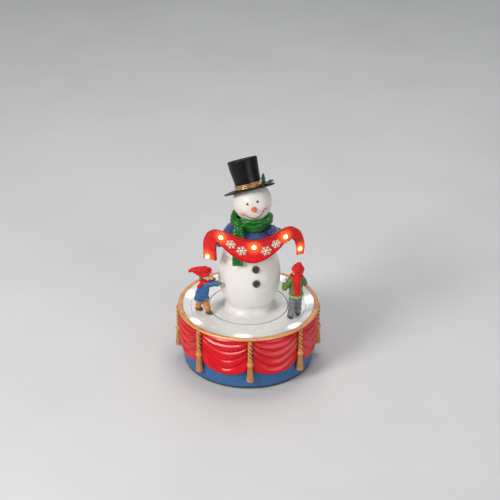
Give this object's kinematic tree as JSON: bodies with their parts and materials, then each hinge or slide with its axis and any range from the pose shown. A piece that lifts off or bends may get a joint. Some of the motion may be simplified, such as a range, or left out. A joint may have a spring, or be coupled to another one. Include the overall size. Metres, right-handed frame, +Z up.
{
  "type": "lit animated snowman podium",
  "caption": "Battery powered holiday podium: round drum with swag curtain and tassels, fixed snowman with a lit banner, and children on a geared turning ring.",
  "frame": {"origin": "under the middle of the drum, on the surface that the feet stand on", "axes": "+Z up, -Y the front that the snowman faces, +X to the right seen from the front"},
  "size_m": [0.1566, 0.1566, 0.2309],
  "materials": {
    "drum_blue": "satin painted moulding",
    "curtain_red": "glossy painted resin",
    "rim_gold": "copper gold paint",
    "rope_gold": "pale gold paint, darker in the grooves",
    "snow_white": "warm white satin resin",
    "cove_white": "translucent glossy white",
    "led_white": "cool white lamp dome",
    "led_amber": "warm amber lamp dome",
    "board_green": "circuit board",
    "black_plastic": "moulded black",
    "gear_plastic": "natural acetal",
    "steel": "zinc plated",
    "nickel": "nickel plated",
    "rubber_grey": "matt",
    "cell_wrap": "plain printed sleeve without markings",
    "jacket_blue": "satin painted resin",
    "cuff_cream": "painted resin",
    "mitten_brown": "painted resin",
    "button_brown": "dark brown painted resin",
    "scarf_green": "satin painted resin",
    "nose_orange": "painted resin",
    "eye_black": "painted resin",
    "hat_black": "glossy black paint",
    "band_gold": "gold paint",
    "holly_green": "dark green paint with red berries",
    "banner_red": "glossy red paint",
    "knit_red": "painted knit texture",
    "skin_peach": "painted resin",
    "coat_blue": "painted resin",
    "coat_green": "painted resin",
    "trousers_orange": "painted resin",
    "trousers_grey": "painted resin",
    "shoe_brown": "painted resin",
    "shoe_black": "painted resin"
  },
  "bodies": {
    "root": {"base_shell": "drum_blue", "swag_curtain": "curtain_red", "tassels": "rope_gold", "gold_rim": "rim_gold", "snow_cove": "cove_white", "led_ring_board": "board_green", "rim_leds": "led_white", "chassis_plate": "black_plastic", "chassis_screws": "steel", "centre_post": "gear_plastic", "post_screws": "steel", "thrust_washer": "gear_plastic", "snow_disc": "snow_white", "gearbox_case": "gear_plastic", "gearbox_screws": "steel", "drive_motor": "steel", "gear_axle": "steel", "control_board": "board_green", "bottom_cover": "black_plastic", "cover_screws": "steel", "rubber_feet": "rubber_grey", "battery_contacts": "nickel", "aa_cells": "cell_wrap", "door_hinge_pin": "steel", "switch_body": "black_plastic", "led_lead": "black_plastic", "snowman_body": "snow_white", "jacket": "jacket_blue", "sleeve_cuffs": "cuff_cream", "mittens": "mitten_brown", "coat_buttons": "button_brown", "scarf_wrap": "scarf_green", "scarf_tail": "scarf_green", "snowman_head": "snow_white", "eyes": "eye_black", "carrot_nose": "nose_orange", "top_hat": "hat_black", "hat_band": "band_gold", "holly_sprig": "holly_green", "banner": "banner_red", "banner_leds": "led_amber"},
    "carousel": {"turntable": "snow_white", "turntable_gear": "gear_plastic", "gear_screws": "steel", "blue_child_shoes": "shoe_brown", "blue_child_trousers": "trousers_orange", "blue_child_coat": "coat_blue", "blue_child_head": "skin_peach", "blue_child_hat": "knit_red", "green_child_shoes": "shoe_black", "green_child_trousers": "trousers_grey", "green_child_coat": "coat_green", "green_child_head": "skin_peach", "green_child_hat": "knit_red"},
    "reduction": {"reduction_gear": "gear_plastic"},
    "pinion": {"drive_pinion": "gear_plastic"},
    "switch": {"switch_knob": "black_plastic"},
    "door": {"battery_door": "black_plastic", "door_screw": "steel"}
  },
  "joints": [
    {"name": "carousel_spin", "type": "hinge", "parent": "root", "child": "carousel", "pos_m": [0, 0, 0.05], "axis": [0, 0, 1], "continuous": true},
    {"name": "reduction_spin", "type": "hinge", "parent": "root", "child": "reduction", "pos_m": [-0.03448, 0, 0.043], "axis": [0, 0, 1], "continuous": true},
    {"name": "pinion_spin", "type": "hinge", "parent": "root", "child": "pinion", "pos_m": [-0.03448, -0.01928, 0.041], "axis": [0, 0, 1], "continuous": true},
    {"name": "switch_slide", "type": "slide", "parent": "root", "child": "switch", "axis": [0, 1, 0], "range_m": [0, 0.004]},
    {"name": "door_hinge", "type": "hinge", "parent": "root", "child": "door", "pos_m": [0, 0.02745, 0.0023], "axis": [1, 0, 0], "range_deg": [0, 80]}
  ],
  "couplings": [
    {"joint": "reduction_spin", "follows": "carousel_spin", "ratio": -5.1429},
    {"joint": "pinion_spin", "follows": "carousel_spin", "ratio": 15.429}
  ]
}
